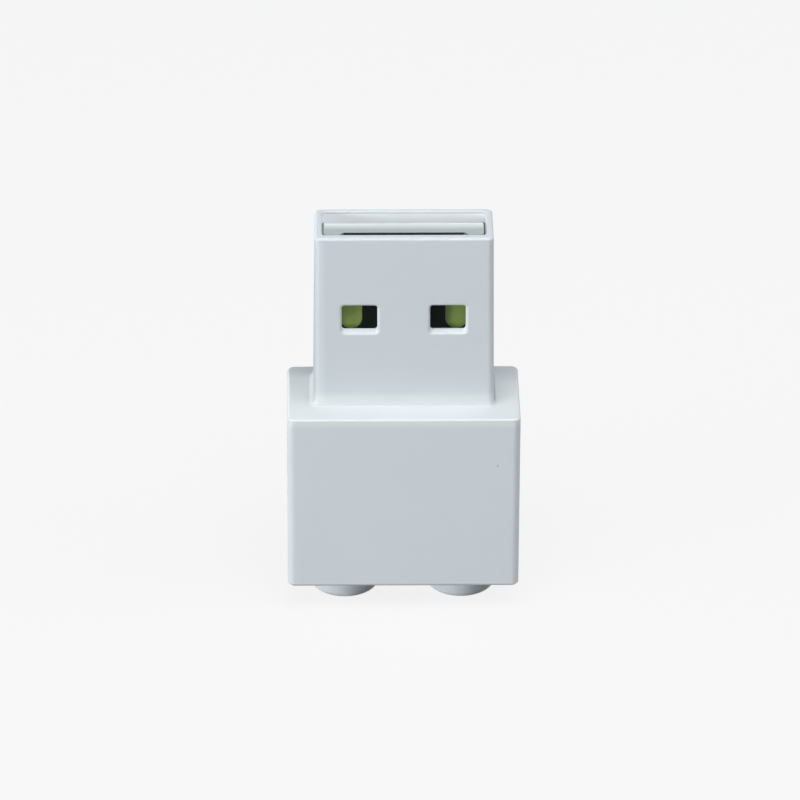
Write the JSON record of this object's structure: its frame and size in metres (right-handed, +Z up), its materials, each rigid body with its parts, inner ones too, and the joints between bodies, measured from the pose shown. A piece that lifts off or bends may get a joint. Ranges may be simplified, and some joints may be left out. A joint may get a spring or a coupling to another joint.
{
  "type": "usb wireless dongle",
  "caption": "Small wireless dongle: a white block body and a USB plug moulded in one piece, standing on two round studs.",
  "frame": {"origin": "middle of the object's outline on the flat ends of its two studs", "axes": "+Z up towards the plug's mouth, -Y towards the front with the plug's two facing latch windows, +X to the right"},
  "size_m": [0.0158, 0.0078, 0.0275],
  "materials": {
    "white_plastic": "fine satin, smooth moulded",
    "tongue_plastic": "smooth moulded",
    "black_plastic": "smooth moulded",
    "board_laminate": "green varnish over glass laminate",
    "contact_metal": "gold-coloured plating",
    "antenna_copper": "thin copper under varnish",
    "chip_package": "moulded, fine matte",
    "crystal_can": "lid on a ceramic tray",
    "capacitor_ceramic": "fired ceramic with tinned ends",
    "resistor_ceramic": "fired ceramic with tinned ends",
    "coil_ceramic": "fired ceramic with tinned ends"
  },
  "bodies": {
    "root": {"housing": "white_plastic", "end_cap": "white_plastic", "contact_tongue": "tongue_plastic", "contact_power": "contact_metal", "contact_data_minus": "contact_metal", "contact_data_plus": "contact_metal", "contact_ground": "contact_metal", "board_retainer": "black_plastic", "circuit_board": "board_laminate", "printed_antenna": "antenna_copper", "radio_chip": "chip_package", "memory_chip": "chip_package", "voltage_regulator": "chip_package", "crystal": "crystal_can", "antenna_coil": "coil_ceramic", "capacitor_1": "capacitor_ceramic", "capacitor_2": "capacitor_ceramic", "capacitor_3": "capacitor_ceramic", "capacitor_4": "capacitor_ceramic", "resistor_1": "resistor_ceramic", "resistor_2": "resistor_ceramic", "resistor_3": "resistor_ceramic"}
  },
  "joints": []
}
